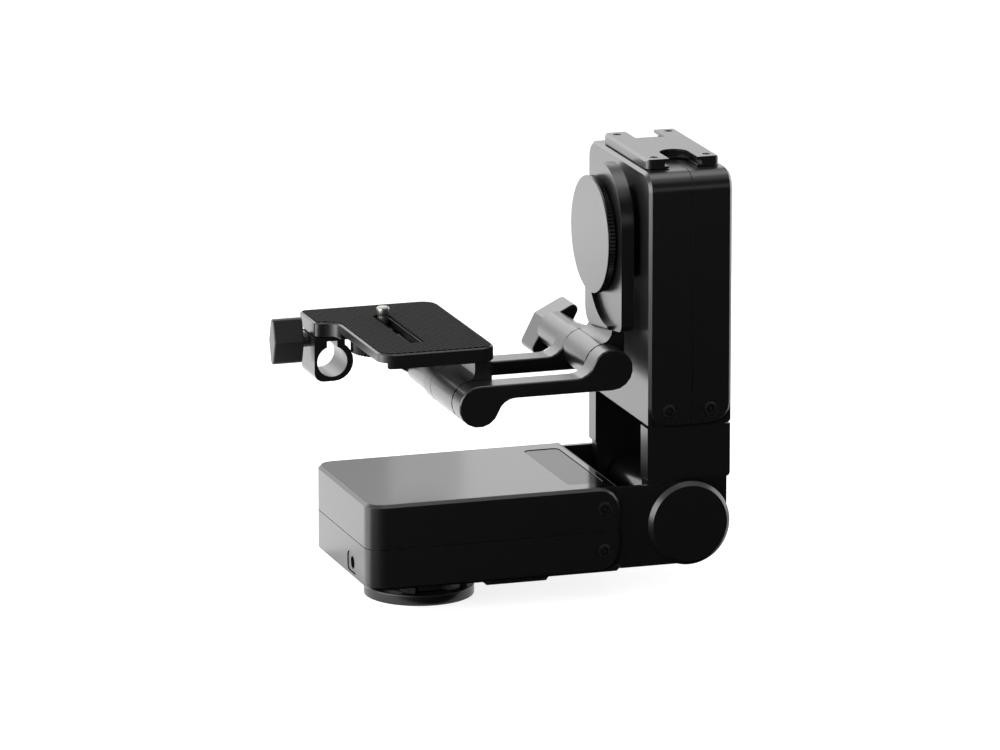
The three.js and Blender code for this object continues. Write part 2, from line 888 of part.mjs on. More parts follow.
// The glossy panel's outline, drawn in by an inset
function panelOutline(inset) {
  return caseOutline(baseDriveEndReach, inset, inset);
}

function baseUpperShell() {
  const recessOutline = panelOutline(panelInset - topPanelGap);
  const recess = prism("z", recessOutline, panelBottom - seatGap, panelTop + overrun);
  return upperCase(baseDriveEndReach, baseSeamHeight).subtract(recess);
}

// Top view of the window, grown by a margin
function windowOutline(margin) {
  const radius = windowCornerRadius;
  return rounded(
    windowStart - margin,
    -half(windowWidth) - margin,
    windowStart + windowLength + margin,
    half(windowWidth) + margin,
    [radius, radius, radius, radius],
  );
}

function baseTopPanel() {
  const panel = prism("z", panelOutline(panelInset), panelBottom, panelTop);
  return panel.subtract(prism("z", windowOutline(seatGap), panelBottom - overrun, panelTop + overrun));
}

function statusWindow() {
  return prism("z", windowOutline(0), panelBottom, panelBottom + windowThickness);
}

// The power socket's outline, seen from the end of the base, grown by a margin
function portOutline(margin) {
  const radius = portCornerRadius + margin;
  return rounded(
    portAcross - half(portWidth) - margin,
    portHeight - half(portTall) - margin,
    portAcross + half(portWidth) + margin,
    portHeight + half(portTall) + margin,
    [radius, radius, radius, radius],
  );
}

function baseLowerShell() {
  const inside = 2 * caseWall - baseDriveEndReach;
  const window = prism("x", portOutline(seatGap), -baseDriveEndReach - overrun, inside);
  return lowerCase(baseDriveEndReach, baseSeamHeight).subtract(window);
}

function powerPort() {
  const face = portSink - baseDriveEndReach;
  const body = prism("x", portOutline(0), face, face + portDepth);
  const at = [0, portAcross, portHeight];
  const hole = rod("x", portHoleRadius, face - overrun, face + portHoleDepth, at, smallRoundSteps);
  return body.subtract(hole);
}

// A low cover under the base, cut round the output flange, with bevelled ends
function undersideCover() {
  const high = -seatGap;
  const low = high - undersideCoverDepth;
  const end = undersideCoverStart + undersideCoverLength;
  const outline = [
    point(undersideCoverStart, high),
    point(undersideCoverStart + undersideCoverBevel, low),
    point(end - undersideCoverBevel, low),
    point(end, high),
  ];
  const slab = prism("y", outline, -half(undersideCoverWidth), half(undersideCoverWidth));
  return slab.subtract(rod("z", discRadius + undersideCoverClearance, low - overrun, high + overrun));
}

// Mounting disc and hub, in the part's own frame

function mountDisc() {
  const profile = [
    [discBoreRadius, 0],
    [discRadius - discChamfer, 0],
    [discRadius, discChamfer],
    [discRadius, discThickness - discChamfer],
    [discRadius - discChamfer, discThickness],
    [discBoreRadius, discThickness],
  ];
  return turned("z", profile);
}

// The hub that clamps the disc to the output flange
function clampHub() {
  const low = discThickness + seatGap;
  const high = baseUndersideHeight - seatGap - outputFlangeThickness - seatGap;
  const lugs = [];
  for (let i = 0; i < hubLugCount; i++) {
    const lug = block(0, hubLugRadius, -half(hubLugWidth), half(hubLugWidth), low, high);
    lugs.push(lug.rotate([0, 0, (i * 2 * Math.PI) / hubLugCount / degrees]));
  }
  return joined([rod("z", hubRadius, low, high, centre, mediumRoundSteps), ...lugs]);
}

// Tower pieces, in the tower module's frame

// The recess of the contact block in the outer shell, and the block itself
function contactOutline(margin) {
  const radius = contactCornerRadius;
  return rounded(
    contactBlockReach - margin,
    -half(contactBlockWidth) - margin,
    contactBlockReach + contactBlockLength + margin,
    half(contactBlockWidth) + margin,
    [radius, radius, radius, radius],
  );
}

function towerOuterShell() {
  const low = moduleThickness - contactBlockThickness - seatGap;
  const recess = prism("z", contactOutline(seatGap), low, moduleThickness + overrun);
  return cut(upperCase(towerDriveEndReach, towerSeamHeight), [recess, ...towerTopScrewHoles()]);
}

function towerInnerShell() {
  return cut(lowerCase(towerDriveEndReach, towerSeamHeight), towerTopScrewHoles());
}

function batteryContactBlock() {
  const low = moduleThickness - contactBlockThickness;
  const body = prism("z", contactOutline(0), low, moduleThickness);
  const pitch = contactBlockWidth / (contactPadCount + 1);
  const wells = [];
  for (let i = 1; i <= contactPadCount; i++) {
    const y = i * pitch - half(contactBlockWidth);
    wells.push(block(
      contactBlockReach + contactCornerRadius,
      contactBlockReach + contactBlockLength - contactCornerRadius,
      y - half(contactPadWidth),
      y + half(contactPadWidth),
      moduleThickness - contactPadDepth,
      moduleThickness + overrun,
    ));
  }
  return cut(body, wells);
}

// Places of the top plate's screws, as [z, y] in the module's frame
function topScrewPlaces() {
  const across = half(topPlateLength) - topPlateScrewEndInset;
  const along = half(topPlateWidth) - topPlateScrewInset;
  const front = -topPlateForward - across;
  const rear = across - topPlateForward;
  return [
    [moduleMiddle - along, front],
    [moduleMiddle + along, front],
    [moduleMiddle - along, rear],
    [moduleMiddle + along, rear],
  ];
}

function towerTopScrewHoles() {
  const low = -towerDriveEndReach - overrun;
  const high = caseWall + overrun - towerDriveEndReach;
  return topScrewPlaces().map(([z, y]) =>
    rod("x", plateScrewShankRadius + seatGap, low, high, [0, y, z], smallRoundSteps),
  );
}

// Top plate, in the tower's frame but with x and z swapped back: x across, y back, z up
const topPlateLow = towerDriveEndReach + seatGap;
const topPlateHigh = topPlateLow + topPlateThickness;

// Both notches of the plate between two heights, grown by a margin
function topPlateNotches(margin, low, high) {
  const front = -topPlateForward - half(topPlateLength);
  const rear = half(topPlateLength) - topPlateForward;
  const radius = half(frontNotchWidth) + margin;
  const eyeY = front + frontNotchDepth - half(frontNotchWidth);
  const reach = half(rearNotchWidth) + margin;
  return [
    block(-radius, radius, front - overrun, eyeY, low, high),
    rod("z", radius, low, high, [0, eyeY, 0]),
    block(-reach, reach, rear - rearNotchDepth - margin, rear + overrun, low, high),
  ];
}

// The plate, chamfered along its two long sides, with a groove in the walls of its notches
function topPlate() {
  const radius = topPlateCornerRadius;
  const side = half(topPlateWidth);
  const front = -topPlateForward - half(topPlateLength);
  const rear = half(topPlateLength) - topPlateForward;
  const outline = rounded(-side, front, side, rear, [radius, radius, radius, radius]);
  const section = [
    point(-side, topPlateLow),
    point(side, topPlateLow),
    point(side, topPlateHigh - topPlateChamfer),
    point(side - topPlateChamfer, topPlateHigh),
    point(topPlateChamfer - side, topPlateHigh),
    point(-side, topPlateHigh - topPlateChamfer),
  ];
  const cutLow = topPlateLow - overrun;
  const cutHigh = topPlateHigh + overrun;
  const body = prism("z", outline, cutLow, cutHigh).intersect(prism("y", section, front, rear));
  const holes = topScrewPlaces().flatMap(([z, y]) => {
    const at = [z - moduleMiddle, y, 0];
    const headLow = topPlateHigh - plateScrewHeadHeight - seatGap;
    return [
      rod("z", plateScrewShankRadius + seatGap, cutLow, cutHigh, at, smallRoundSteps),
      rod("z", plateScrewHeadRadius + screwHoleClearance, headLow, cutHigh, at, smallRoundSteps),
    ];
  });
  const grooveLow = topPlateLow + notchFootThickness;
  const grooveHigh = topPlateHigh - notchLipThickness;
  const notches = [
    ...topPlateNotches(0, cutLow, cutHigh),
    ...topPlateNotches(notchGrooveDepth, grooveLow, grooveHigh),
  ];
  return cut(body, [...notches, ...holes]);
}

function topPlateScrew([z, y]) {
  const top = topPlateHigh - seatGap;
  const bottom = towerDriveEndReach - caseWall;
  const profile = [
    [0, bottom],
    [plateScrewShankRadius, bottom],
    [plateScrewShankRadius, top - plateScrewHeadHeight],
    [plateScrewHeadRadius, top - plateScrewHeadHeight],
    [plateScrewHeadRadius, top],
    [plateScrewKeyRadius, top],
    [plateScrewKeyRadius, top - half(plateScrewHeadHeight)],
    [0, top - half(plateScrewHeadHeight)],
  ];
  return turned("z", profile, [z - moduleMiddle, y, 0], smallRoundSteps);
}

// Tilt arm group: the origin is on the tilt axis at the tower's inner face, x towards the tower

const armFrontReach = armHeadForward + armHeadRadius;
const armHigh = -outputFlangeThickness - 2 * seatGap;
const armLow = armHigh - armPlateThickness;
const knobHigh = armLow - seatGap;
const knobLow = knobHigh - tiltKnobThickness;
const rightElbow = { x: -rightElbowFromTower, z: -rightElbowDrop };
const leftElbow = { x: rightElbow.x - elbowSpanX, z: rightElbow.z - elbowSpanZ };

// Side view of the arm plate: a round head, set forward and up, that runs down into a foot
function armPlateOutline() {
  const rearAngle = -Math.acos((armRearReach + armHeadForward) / armHeadRadius);
  const front = armCornerRadius - armFrontReach;
  const foot = armCornerRadius - armFrontDrop;
  const rear = armRearReach - armRearCornerRadius;
  return [
    ...arc(-armHeadForward, armHeadRise, armHeadRadius, rearAngle, Math.PI, mediumRoundSteps),
    ...arc(front, foot, armCornerRadius, Math.PI, 1.5 * Math.PI),
    ...arc(rear, -armRearDrop, armRearCornerRadius, -half(Math.PI), 0),
  ];
}

// The neck from the plate's inner face to the elbow, with a fillet onto the elbow
function neckOutline() {
  const filletX = armLow - neckFilletRadius;
  const reach = neckFilletRadius + elbowRadius;
  const filletZ = rightElbow.z + Math.sqrt(reach ** 2 - (filletX - rightElbow.x) ** 2);
  const towards = Math.atan2(rightElbow.z - filletZ, rightElbow.x - filletX);
  const top = -half(armFrontDrop) - armCornerRadius;
  return [
    point(armHigh, top),
    point(armLow, top),
    ...arc(filletX, filletZ, neckFilletRadius, 0, towards),
    point(rightElbow.x, rightElbow.z),
    point(armHigh, rightElbow.z),
  ];
}

function tiltArm() {
  const outline = armPlateOutline();
  const plate = prismOneEnd("x", outline, armLow, armHigh, armChamfer, "low");
  const rimLow = armLow - armRimThickness;
  const rimPlate = prismOneEnd("x", outline, rimLow, armHigh, armChamfer, "low");
  const pocketAt = [0, armRimPocketY, armRimPocketZ];
  const pocket = rod("x", armRimPocketRadius, rimLow - overrun, armLow, pocketAt);
  const reach = armFrontReach + overrun;
  const top = armHeadRise + armHeadRadius + overrun;
  const above = block(rimLow - overrun, armLow, -reach, reach, armRimTop, top);
  const front = block(rimLow - overrun, armLow, -reach, -neckFrontReach, -armFrontDrop - overrun, top);
  const knobRoom = rod("x", tiltKnobRadius + 2 * seatGap, rimLow - overrun, armLow);
  const rim = cut(rimPlate, [pocket, above, front, knobRoom]);
  const neck = prism("y", neckOutline(), -neckFrontReach, neckRearReach);
  const at = [rightElbow.x, 0, rightElbow.z];
  const elbow = rod("y", elbowRadius, -neckFrontReach, neckRearReach, at, mediumRoundSteps);
  const holeLow = -neckFrontReach - overrun;
  const holeHigh = neckRearReach + overrun;
  const boltHole = rod("y", elbowBoltRadius + seatGap, holeLow, holeHigh, at, smallRoundSteps);
  const studHole = rod("x", spindleBoreRadius, armLow - overrun, armHigh + overrun, centre, smallRoundSteps);
  return cut(joined([plate, rim, neck, elbow]), [boltHole, studHole]);
}

// A ribbed rim: an outline whose radius falls and rises once for each rib
function ribbedOutline(radius, depth, count) {
  const points = [];
  for (let i = 0; i < 2 * count; i++) {
    const angle = (Math.PI * i) / count;
    const reach = i % 2 === 0 ? radius : radius - depth;
    points.push(point(reach * Math.cos(angle), reach * Math.sin(angle)));
  }
  return points;
}

function tiltLockKnob() {
  const faceHigh = knobLow + tiltKnobFaceThickness;
  const face = turned("x", [
    [0, knobLow],
    [tiltKnobRadius - tiltKnobFaceChamfer, knobLow],
    [tiltKnobRadius, knobLow + tiltKnobFaceChamfer],
    [tiltKnobRadius, faceHigh],
    [0, faceHigh],
  ]);
  const rim = ribbedOutline(tiltKnobRadius - tiltKnobFaceChamfer, tiltKnobRibDepth, tiltKnobRibCount);
  const ribs = prism("x", rim, knobLow + half(tiltKnobFaceThickness), faceHigh + tiltKnobRibWidth);
  const hub = rod("x", tiltKnobRadius - tiltKnobHubInset, faceHigh, knobHigh);
  const stud = rod("x", tiltKnobStudRadius, faceHigh, knobHigh + tiltKnobStudLength, centre, smallRoundSteps);
  return joined([face, ribs, hub, stud]);
}

// Front view of an S-shaped link between the two elbows
function linkOutline() {
  const top = leftElbow.z + elbowRadius;
  const bottom = rightElbow.z - elbowRadius;
  const reach = elbowRadius + linkFilletRadius;
  const rise = top + linkFilletRadius - rightElbow.z;
  const run = Math.sqrt(reach ** 2 - rise ** 2);
  const rightFillet = { x: rightElbow.x - run, z: top + linkFilletRadius };
  const leftFillet = { x: leftElbow.x + run, z: bottom - linkFilletRadius };
  const lean = Math.atan2(rise, run);
  return [
    ...arc(leftElbow.x, leftElbow.z, elbowRadius, half(Math.PI), 2 * Math.PI - lean, half(mediumRoundSteps)),
    ...arc(leftFillet.x, leftFillet.z, linkFilletRadius, Math.PI - lean, half(Math.PI)),
    ...arc(rightElbow.x, rightElbow.z, elbowRadius, -half(Math.PI), Math.PI - lean, half(mediumRoundSteps)),
    ...arc(rightFillet.x, rightFillet.z, linkFilletRadius, -lean, -half(Math.PI)),
  ];
}

const frontLinkHigh = -neckFrontReach - seatGap;
const frontLinkLow = frontLinkHigh - linkWidth;
const rearLinkLow = neckRearReach + seatGap;
const rearLinkHigh = rearLinkLow + linkWidth;
const elbows = { right: rightElbow, left: leftElbow };
const boltLow = frontLinkHigh - elbowBoltInset;

// Holes for the two elbow bolts between two places on y
function boltHoles(low, high) {
  return Object.values(elbows).map(({ x, z }) =>
    rod("y", elbowBoltRadius + seatGap, low, high, [x, 0, z], smallRoundSteps),
  );
}

function frontLink() {
  const body = prism("y", linkOutline(), frontLinkLow, frontLinkHigh, linkChamfer);
  return cut(body, boltHoles(boltLow - seatGap, frontLinkHigh + overrun));
}

function rearLink() {
  const body = prism("y", linkOutline(), rearLinkLow, rearLinkHigh, linkChamfer);
  return cut(body, boltHoles(rearLinkLow - overrun, rearLinkHigh + overrun));
}

function elbowBolt({ x, z }) {
  return rod("y", elbowBoltRadius, boltLow, boltLow + elbowBoltLength, [x, 0, z], smallRoundSteps);
}

// A long six-sided outline with round tips
function paddleOutline(halfLength, halfMiddle, tipRadius) {
  const tip = halfLength - tipRadius;
  const lean = Math.atan2(halfMiddle - tipRadius, tip);
  return [
    ...arc(tip, 0, tipRadius, lean - half(Math.PI), half(Math.PI) - lean),
    point(0, halfMiddle),
    ...arc(-tip, 0, tipRadius, half(Math.PI) + lean, 1.5 * Math.PI - lean),
    point(0, -halfMiddle),
  ];
}

// A paddle knob behind the rear link, about its own axis
function paddleKnob() {
  const sleeveLow = rearLinkHigh + seatGap;
  const sleeveHigh = sleeveLow + paddleSleeveLength;
  const outline = paddleOutline(paddleHalfLength, paddleHalfMiddle, paddleTipRadius);
  const wing = prism("y", outline, sleeveHigh, sleeveHigh + paddleDepth, paddleChamfer);
  const inWing = sleeveHigh + paddleChamfer;
  const sleeve = rod("y", paddleSleeveRadius, sleeveLow, inWing, centre, mediumRoundSteps);
  const boreHigh = boltLow + elbowBoltLength + seatGap;
  const bore = rod("y", paddleBoreRadius, sleeveLow - overrun, boreHigh, centre, smallRoundSteps);
  return wing.add(sleeve).subtract(bore);
}

// Camera plate group: the origin is on the left elbow's axis, in the middle plane

const plateTop = plateTopRise - gripPadProud;
const plateLow = plateTop - plateThickness;
const slotX = -slotFromElbow;
const padTop = plateTopRise;
const padLow = padTop - gripPadThickness;

// Top view of the plate with its ear, drawn in by an inset
function plateOutline(inset) {
  const radius = plateCornerRadius - inset;
  const tight = earCornerRadius - inset;
  const left = inset - plateLeftReach;
  const right = plateRightReach - inset;
  const front = inset - plateFrontReach;
  const rear = plateRearReach - inset;
  const ear = left - earReach;
  const earFront = earStart + inset;
  const fillet = earFilletRadius + inset;
  return [
    ...arc(left + radius, front + radius, radius, Math.PI, 1.5 * Math.PI),
    ...arc(right - radius, front + radius, radius, 1.5 * Math.PI, 2 * Math.PI),
    ...arc(right - radius, rear - radius, radius, 0, half(Math.PI)),
    ...arc(ear + tight, rear - tight, tight, half(Math.PI), Math.PI),
    ...arc(ear + tight, earFront + tight, tight, Math.PI, 1.5 * Math.PI),
    ...arc(left - fillet, earFront - fillet, fillet, half(Math.PI), 0),
  ];
}

// Top view of the slot, grown by a margin
function slotOutline(margin) {
  const radius = slotCornerRadius + margin;
  const reach = half(slotWidth) + margin;
  return rounded(
    slotX - reach,
    -slotFrontReach - margin,
    slotX + reach,
    slotRearReach + margin,
    [radius, radius, radius, radius],
  );
}

// The plate, with a relief under its left edge that lets a finger reach the thumbwheel
function cameraPlate() {
  const body = prism("z", plateOutline(0), plateLow, plateTop, plateChamfer);
  const recess = prism("z", plateOutline(gripPadRim - seatGap), padLow - seatGap, plateTop + overrun);
  const slot = prism("z", slotOutline(0), plateLow - overrun, plateTop + overrun);
  const channel = block(
    slotX - half(channelWidth),
    slotX + half(channelWidth),
    -slotFrontReach - slotMarginFront,
    slotRearReach + slotMarginRear,
    plateLow - overrun,
    plateLow + channelDepth,
  );
  const relief = block(
    -plateLeftReach - overrun,
    sideReliefWidth - plateLeftReach,
    sideReliefEndGap - plateFrontReach,
    earStart - earFilletRadius,
    plateLow - overrun,
    plateLow + sideReliefDepth,
  );
  return cut(body, [recess, slot, channel, relief]);
}

function gripPad() {
  const body = prism("z", plateOutline(gripPadRim), padLow, padTop);
  return body.subtract(prism("z", slotOutline(gripPadSlotMargin), padLow - overrun, padTop + overrun));
}

// The bracket: a barrel on the elbow and a column up to the plate
function plateBracket() {
  const top = plateLow - seatGap;
  const left = columnOffset;
  const right = columnOffset + columnWidth;
  const filletX = left - columnFilletRadius;
  const filletZ = Math.sqrt((elbowRadius + columnFilletRadius) ** 2 - filletX ** 2);
  const towards = Math.atan2(-filletZ, -filletX);
  const outline = [
    point(0, 0),
    point(elbowRadius, 0),
    point(right, 0),
    point(right, top),
    point(left, top),
    ...arc(filletX, filletZ, columnFilletRadius, 0, towards),
  ];
  const distinct = outline.filter((p, i) => i === 0 || p.distanceTo(outline[i - 1]) > weldTolerance);
  const column = prism("y", distinct, -neckFrontReach, neckRearReach);
  const barrel = rod("y", elbowRadius, -neckFrontReach, neckRearReach, centre, mediumRoundSteps);
  const holeLow = -neckFrontReach - overrun;
  const holeHigh = neckRearReach + overrun;
  const hole = rod("y", elbowBoltRadius + seatGap, holeLow, holeHigh, centre, smallRoundSteps);
  return column.add(barrel).subtract(hole);
}

// The rod clamp: a ring that is split upwards, with posts beside the slit and a bridge over it
function rodClamp() {
  const x = -rodFromElbow;
  const z = rodRise;
  const top = plateLow - seatGap;
  const left = x - rodRadius - clampLeftWall;
  const ringX = x + clampRingOffset;
  const bottom = z - clampRingRadius;
  const postRight = x + clampSlitHalfWidth + clampRightPost;
  const corner = clampBottomCorner;
  const post = block(left, postRight, clampFront, clampFront + clampLength, z, top);
  const foot = rounded(left, bottom, ringX, z + overrun, [corner, 0, 0, 0]);
  const outside = joined([
    prism("y", foot, clampFront, clampFront + clampLength),
    post,
    rod("y", clampRingRadius, clampFront, clampFront + clampLength, [ringX, 0, z], mediumRoundSteps),
  ]);
  const clampRear = clampFront + clampLength;
  const bore = rod("y", rodRadius, clampFront - overrun, clampRear + overrun, [x, 0, z], mediumRoundSteps);
  const slit = block(
    x - clampSlitHalfWidth,
    x + clampSlitHalfWidth,
    clampFront - overrun,
    clampFront + clampLength + overrun,
    z,
    top - clampBridgeThickness,
  );
  const screwAt = [0, clampFront + half(clampLength), clampScrewRise];
  const screwHoleRadius = clampScrewRadius + seatGap;
  const screwHole = rod("x", screwHoleRadius, left - overrun, postRight + overrun, screwAt, smallRoundSteps);
  return cut(outside, [bore, slit, screwHole]);
}

// The clamp's knob with its screw, about the screw's own axis
function rodClampKnob() {
  const left = -rodFromElbow - rodRadius - clampLeftWall;
  const postRight = clampSlitHalfWidth + clampRightPost - rodFromElbow;
  const collarHigh = left - seatGap;
  const collarLow = collarHigh - clampKnobCollarLength;
  const outline = paddleOutline(clampKnobHalfLength, clampKnobHalfMiddle, clampKnobTipRadius);
  const upright = outline.map((p) => point(-p.y, p.x));
  const wing = prism("x", upright, collarLow - clampKnobDepth, collarLow, paddleChamfer);
  const inWing = collarLow - paddleChamfer;
  const collar = rod("x", clampKnobCollarRadius, inWing, collarHigh, centre, smallRoundSteps);
  const screw = rod("x", clampScrewRadius, collarHigh - overrun, postRight, centre, smallRoundSteps);
  return joined([wing, collar, screw]);
}

// Slider in the channel under the slot, about the camera screw's axis
const sliderLow = plateLow + seatGap;
const sliderHigh = plateLow + Math.min(sliderThickness + seatGap, channelDepth - seatGap);

// A hole for the camera screw's neck, right through between two heights
function neckHole(low, high) {
  const radius = cameraScrewNeckRadius + seatGap;
  return rod("z", radius, low - overrun, high + overrun, centre, smallRoundSteps);
}

function slotSlider() {
  const halfWidth = half(channelWidth) - sliderSideGap;
  const radius = sliderCornerRadius;
  const reach = half(sliderLength);
  const outline = rounded(-halfWidth, -reach, halfWidth, reach, [radius, radius, radius, radius]);
  const body = prism("z", outline, sliderLow, sliderHigh);
  return body.subtract(neckHole(sliderLow, sliderHigh));
}

// The camera screw about its own axis: a domed thread on a thinner neck
function cameraScrew() {
  const top = padTop + cameraScrewRise;
  const threadLow = top - cameraScrewThreadLength;
  const bottom = plateLow - cameraScrewBottomDrop;
  return turned("z", [
    [0, bottom],
    [cameraScrewNeckRadius, bottom],
    [cameraScrewNeckRadius, threadLow - seatGap],
    [cameraScrewRadius, threadLow],
    [cameraScrewRadius, top - cameraScrewDome],
    [cameraScrewRadius - half(cameraScrewDome), top - half(half(cameraScrewDome))],
    [half(cameraScrewRadius), top],
    [0, top],
  ], centre, smallRoundSteps);
}

function screwThumbwheel() {
  const high = plateLow - wheelDrop;
  const low = high - wheelThickness;
  const body = prism("z", ribbedOutline(wheelRadius, wheelRibDepth, wheelRibCount), low, high);
  const hub = rod("z", wheelHubRadius, high - overrun, plateLow - seatGap, centre, smallRoundSteps);
  return body.add(hub).subtract(neckHole(low, plateLow));
}

// Assembly

function group(children, x = 0, y = 0, z = 0) {
  const holder = new THREE.Group();
  holder.position.set(x, y, z);
  holder.add(...children);
  return holder;
}

// Four case screws, named for their module and place
function caseScrews(moduleName, lowerName, upperName) {
  return Object.entries(sides).flatMap(([sideName, side]) => [
    piece(`${moduleName}_screw_${sideName}_${lowerName}`, caseScrew(side, "lower"), "matte_black"),
    piece(`${moduleName}_screw_${sideName}_${upperName}`, caseScrew(side, "upper"), "matte_black"),
  ]);
}

// Camera plate with all that it carries, about the left elbow's axis
function plateGroup() {
  const clampAxis = group(
    [piece("rod_clamp_knob", rodClampKnob(), "matte_black")],
    0,
    clampFront + half(clampLength),
    clampScrewRise,
  );
  const screwGroup = group([
    piece("slot_slider", slotSlider(), "dark_steel"),
    piece("camera_screw", cameraScrew(), "bright_steel"),
    piece("screw_thumbwheel", screwThumbwheel(), "matte_black"),
  ], slotX, cameraScrewY, 0);
  return group([
    piece("plate_bracket", plateBracket(), "satin_black"),
    piece("camera_plate", cameraPlate(), "satin_black"),
    piece("grip_pad", gripPad(), "rubber_black"),
    piece("rod_clamp", rodClamp(), "satin_black"),
    clampAxis,
    screwGroup,
  ], leftElbow.x, 0, leftElbow.z);
}

// A paddle knob on its elbow, turned to its place
function paddleGroup(name, elbow, turn) {
  const holder = group([piece(name, paddleKnob(), "satin_black")], elbow.x, 0, elbow.z);
  holder.rotation.y = -turn * degrees;
  return holder;
}

// Everything that tilts, about the tilt axis at the tower's inner face
function armGroup() {
  const shaft = group([
    piece("tilt_output_shaft", outputShaft(), "matte_black"),
    piece("tilt_gear", driveGear(), "brass"),
  ]);
  shaft.rotation.set(0, half(Math.PI), 0);
  return group([
    shaft,
    piece("tilt_arm", tiltArm(), "satin_black"),
    piece("tilt_lock_knob", tiltLockKnob(), "satin_black"),
    piece("front_link", frontLink(), "satin_black"),
    piece("rear_link", rearLink(), "satin_black"),
    piece("right_elbow_bolt", elbowBolt(rightElbow), "dark_steel"),
    piece("left_elbow_bolt", elbowBolt(leftElbow), "dark_steel"),
    paddleGroup("right_paddle_knob", rightElbow, rightPaddleDegrees),
    paddleGroup("left_paddle_knob", leftElbow, leftPaddleDegrees),
    plateGroup(),
  ], -moduleMiddle, 0, hingeToTilt);
}

// The tower, about the hinge axis
function towerGroup() {
  const module = group([
    piece("tower_hinge_block", towerHingeBlock(), "satin_black"),
    piece("hinge_barrel", hingeBarrel(), "matte_black"),
    piece("front_hinge_bush", hingeBush(sides.front), "brass"),
    piece("rear_hinge_bush", hingeBush(sides.rear), "brass"),
    piece("tower_inner_shell", towerInnerShell(), "satin_black"),
    piece("tower_outer_shell", towerOuterShell(), "satin_black"),
    ...caseScrews("tower", "inner", "outer"),
    piece("tilt_bearing", driveBearing(), "dark_steel"),
    piece("tilt_motor", driveMotor(), "dark_steel"),
    group([piece("tilt_pinion", drivePinion(), "brass")], gearCentreDistance, 0, 0),
    piece("tower_control_board", controlBoard(), "board_green"),
    piece("battery_contact_block", batteryContactBlock(), "matte_black"),
  ], -moduleMiddle, 0, hingeToTilt);
  module.rotation.set(0, half(Math.PI), 0);
  const screwNames = ["front_inner", "front_outer", "rear_inner", "rear_outer"];
  const top = group([
    piece("top_plate", topPlate(), "satin_black"),
    ...topScrewPlaces().map((place, i) =>
      piece(`top_plate_screw_${screwNames[i]}`, topPlateScrew(place), "dark_steel"),
    ),
  ], 0, 0, hingeToTilt);
  return group([module, top, armGroup()], hingeReach, 0, moduleMiddle);
}

// The base module, about the pan axis at the base's underside
function baseGroup() {
  return group([
    piece("pan_output_shaft", outputShaft(), "matte_black"),
    piece("pan_gear", driveGear(), "brass"),
    piece("base_lower_shell", baseLowerShell(), "satin_black"),
    piece("base_upper_shell", baseUpperShell(), "satin_black"),
    piece("base_top_panel", baseTopPanel(), "gloss_black"),
    piece("status_window", statusWindow(), "smoked_window"),
    piece("base_hinge_frame", baseHingeFrame(), "satin_black"),
    piece("front_hinge_cap", hingeCap(sides.front), "satin_black"),
    piece("rear_hinge_cap", hingeCap(sides.rear), "satin_black"),
    piece("hinge_pin", hingePin(), "dark_steel"),
    ...caseScrews("base", "lower", "upper"),
    piece("pan_bearing", driveBearing(), "dark_steel"),
    piece("pan_motor", driveMotor(), "dark_steel"),
    group([piece("pan_pinion", drivePinion(), "brass")], gearCentreDistance, 0, 0),
    piece("base_control_board", controlBoard(), "board_green"),
    piece("power_port", powerPort(), "matte_black"),
    piece("underside_cover", undersideCover(), "matte_black"),
    towerGroup(),
  ], 0, 0, baseUndersideHeight);
}

const head = group([
  piece("pan_mount_disc", mountDisc(), "satin_black"),
  piece("pan_clamp_hub", clampHub(), "matte_black"),
  baseGroup(),
]);
head.name = "pan_tilt_head";

export default head;
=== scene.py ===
"""Looks of the motorised pan tilt head: finishes, broken edges, fine pieces, light and camera."""

import json
from math import atan2, pi, radians

import bmesh
import bpy
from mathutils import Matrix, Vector

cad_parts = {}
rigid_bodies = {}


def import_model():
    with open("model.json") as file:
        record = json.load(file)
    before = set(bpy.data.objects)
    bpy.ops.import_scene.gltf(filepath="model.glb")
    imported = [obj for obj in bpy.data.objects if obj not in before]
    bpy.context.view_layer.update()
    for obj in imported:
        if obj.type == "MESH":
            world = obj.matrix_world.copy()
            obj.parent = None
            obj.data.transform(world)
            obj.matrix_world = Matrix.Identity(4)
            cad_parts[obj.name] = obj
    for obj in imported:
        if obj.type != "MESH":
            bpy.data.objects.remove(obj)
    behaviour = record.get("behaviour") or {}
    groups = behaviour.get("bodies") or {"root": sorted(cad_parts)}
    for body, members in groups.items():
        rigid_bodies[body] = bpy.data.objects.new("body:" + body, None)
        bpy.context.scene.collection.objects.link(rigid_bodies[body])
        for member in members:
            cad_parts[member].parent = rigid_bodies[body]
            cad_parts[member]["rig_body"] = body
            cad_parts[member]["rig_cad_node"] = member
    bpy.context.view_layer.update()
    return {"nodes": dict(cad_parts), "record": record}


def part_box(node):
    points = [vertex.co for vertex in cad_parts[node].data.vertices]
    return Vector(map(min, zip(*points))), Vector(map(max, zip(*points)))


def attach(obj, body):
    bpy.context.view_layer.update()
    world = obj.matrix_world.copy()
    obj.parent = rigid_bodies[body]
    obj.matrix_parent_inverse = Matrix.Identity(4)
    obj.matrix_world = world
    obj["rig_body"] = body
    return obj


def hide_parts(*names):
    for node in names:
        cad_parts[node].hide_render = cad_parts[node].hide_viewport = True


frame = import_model()

MM = 0.001


# Finishes


def linear(hex_colour):
    """A shader colour from an sRGB hex value."""
    channels = [int(hex_colour[i : i + 2], 16) / 255 for i in (1, 3, 5)]
    curved = [c / 12.92 if c <= 0.04045 else ((c + 0.055) / 1.055) ** 2.4 for c in channels]
    return curved + [1]


